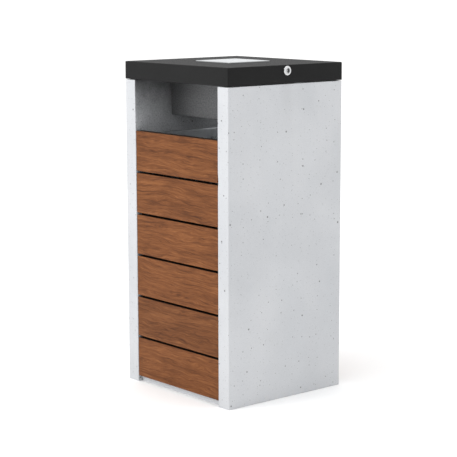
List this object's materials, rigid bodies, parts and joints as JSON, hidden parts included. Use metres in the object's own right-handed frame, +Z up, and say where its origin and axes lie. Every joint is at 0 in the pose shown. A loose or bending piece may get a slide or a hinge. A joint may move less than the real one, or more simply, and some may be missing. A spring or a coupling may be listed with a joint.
{
  "type": "litter bin",
  "caption": "Outdoor litter bin with concrete sides, timber slats front and rear, a hinged lockable sheet lid with an ash pan, and a lift-out liner.",
  "frame": {"origin": "middle of the concrete body on the floor", "axes": "+X to the right across the front, +Y from the front to the rear, +Z up"},
  "size_m": [0.514, 0.45, 1.003],
  "materials": {
    "concrete": "smooth cast concrete, pale grey",
    "timber": "oiled reddish-brown hardwood",
    "powder_coat": "fine-textured anthracite powder coat",
    "galvanised": "galvanised",
    "stainless": "brushed stainless steel",
    "zinc_plate": "zinc plated",
    "lock_chrome": "polished chrome",
    "black_rubber": "matte black rubber"
  },
  "bodies": {
    "bin_body": {"base_bracket_front_left": "galvanised", "base_bracket_front_right": "galvanised", "base_bracket_rear_left": "galvanised", "base_bracket_rear_right": "galvanised", "base_slab": "concrete", "cast_sockets": "zinc_plate", "frame_bolts": "zinc_plate", "frame_washers": "zinc_plate", "hinge_leaf_body_front": "stainless", "hinge_leaf_body_rear": "stainless", "hinge_pin_front": "stainless", "hinge_pin_rear": "stainless", "hinge_screws_body": "zinc_plate", "keeper_screws": "zinc_plate", "lid_pads": "black_rubber", "lock_keeper": "stainless", "side_panel_left": "concrete", "side_panel_right": "concrete", "slat_angle_front_left": "galvanised", "slat_angle_front_right": "galvanised", "slat_angle_rear_left": "galvanised", "slat_angle_rear_right": "galvanised", "slat_front_1": "timber", "slat_front_2": "timber", "slat_front_3": "timber", "slat_front_4": "timber", "slat_front_5": "timber", "slat_front_6": "timber", "slat_rear_1": "timber", "slat_rear_2": "timber", "slat_rear_3": "timber", "slat_rear_4": "timber", "slat_rear_5": "timber", "slat_rear_6": "timber", "slat_screws": "zinc_plate"},
    "lid": {"lid_shell": "powder_coat", "lid_stiffener_left": "galvanised", "lid_stiffener_right": "galvanised", "ash_housing": "galvanised", "hinge_leaf_lid_front": "stainless", "hinge_leaf_lid_rear": "stainless", "hinge_bolts_lid": "zinc_plate", "hinge_nuts": "zinc_plate", "lock_body": "lock_chrome", "lock_nut": "zinc_plate"},
    "lock_core": {"lock_barrel": "lock_chrome", "lock_cam": "zinc_plate", "cam_screw": "zinc_plate"},
    "ash_tray": {"ash_pan": "stainless"},
    "grid": {"stub_grid": "stainless"},
    "bucket": {"liner": "galvanised", "liner_feet": "black_rubber", "bail_lugs": "galvanised"},
    "handle_left": {"bail_left": "stainless"},
    "handle_right": {"bail_right": "stainless"}
  },
  "joints": [
    {"name": "lid_hinge", "type": "hinge", "parent": "bin_body", "child": "lid", "pos_m": [-0.251, 0, 0.945], "axis": [0, -1, 0], "range_deg": [0, 120]},
    {"name": "lock_turn", "type": "hinge", "parent": "lid", "child": "lock_core", "pos_m": [0.225, 0, 0.983], "axis": [1, 0, 0], "range_deg": [0, 90]},
    {"name": "ash_pan_lift", "type": "slide", "parent": "lid", "child": "ash_tray", "axis": [0, 0, 1], "range_m": [0, 0.1]},
    {"name": "stub_grid_lift", "type": "slide", "parent": "ash_tray", "child": "grid", "axis": [0, 0, 1], "range_m": [0, 0.03]},
    {"name": "liner_lift", "type": "slide", "parent": "bin_body", "child": "bucket", "axis": [0, 0, 1], "range_m": [0, 0.034]},
    {"name": "bail_left_swing", "type": "hinge", "parent": "bucket", "child": "handle_left", "pos_m": [-0.17, 0, 0.747], "axis": [0, -1, 0], "range_deg": [0, 180]},
    {"name": "bail_right_swing", "type": "hinge", "parent": "bucket", "child": "handle_right", "pos_m": [0.17, 0, 0.747], "axis": [0, 1, 0], "range_deg": [0, 180]}
  ]
}
